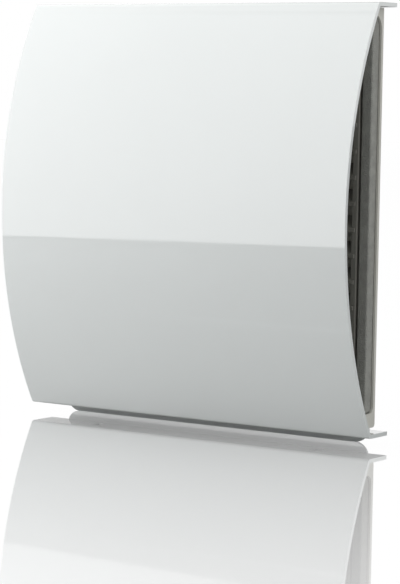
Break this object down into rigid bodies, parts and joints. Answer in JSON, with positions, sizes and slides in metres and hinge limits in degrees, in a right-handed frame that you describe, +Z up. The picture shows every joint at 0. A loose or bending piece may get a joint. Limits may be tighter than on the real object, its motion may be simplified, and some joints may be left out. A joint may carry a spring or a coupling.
{
  "type": "acoustic vent cover",
  "caption": "Square outdoor wall vent cover: bowed white sheet front with open sides over a lined tray, a grey slatted louvre and a round duct collar.",
  "frame": {"origin": "on the duct's axis in the wall plane, which is the centre of the wall screw pattern", "axes": "+Z up, +Y into the wall along the duct, +X to the right as seen from in front; the front faces -Y"},
  "size_m": [0.26, 0.094, 0.2702],
  "materials": {
    "white_coat": "gloss powder coat",
    "white_plastic": "satin",
    "lining": "open-cell foam",
    "louvre_grey": "satin",
    "zinc": "galvanised",
    "seal_rubber": "matte",
    "grey_plastic": "moulded",
    "screw_steel": "zinc plated"
  },
  "bodies": {
    "root": {"front_cover": "white_coat", "wall_plate": "white_coat", "base_tray": "white_plastic", "cover_lining": "lining", "lining_left": "lining", "lining_right": "lining", "lining_top": "lining", "lining_bottom": "lining", "louvre_frame": "louvre_grey", "duct_spigot": "zinc", "spigot_seal": "seal_rubber", "guard_mesh": "grey_plastic", "cover_screws": "screw_steel", "tray_screws": "screw_steel", "louvre_screws": "screw_steel", "louvre_blade_01": "louvre_grey", "louvre_blade_02": "louvre_grey", "louvre_blade_03": "louvre_grey", "louvre_blade_04": "louvre_grey", "louvre_blade_05": "louvre_grey", "louvre_blade_06": "louvre_grey", "louvre_blade_07": "louvre_grey", "louvre_blade_08": "louvre_grey", "louvre_blade_09": "louvre_grey", "louvre_blade_10": "louvre_grey", "louvre_blade_11": "louvre_grey"}
  },
  "joints": []
}
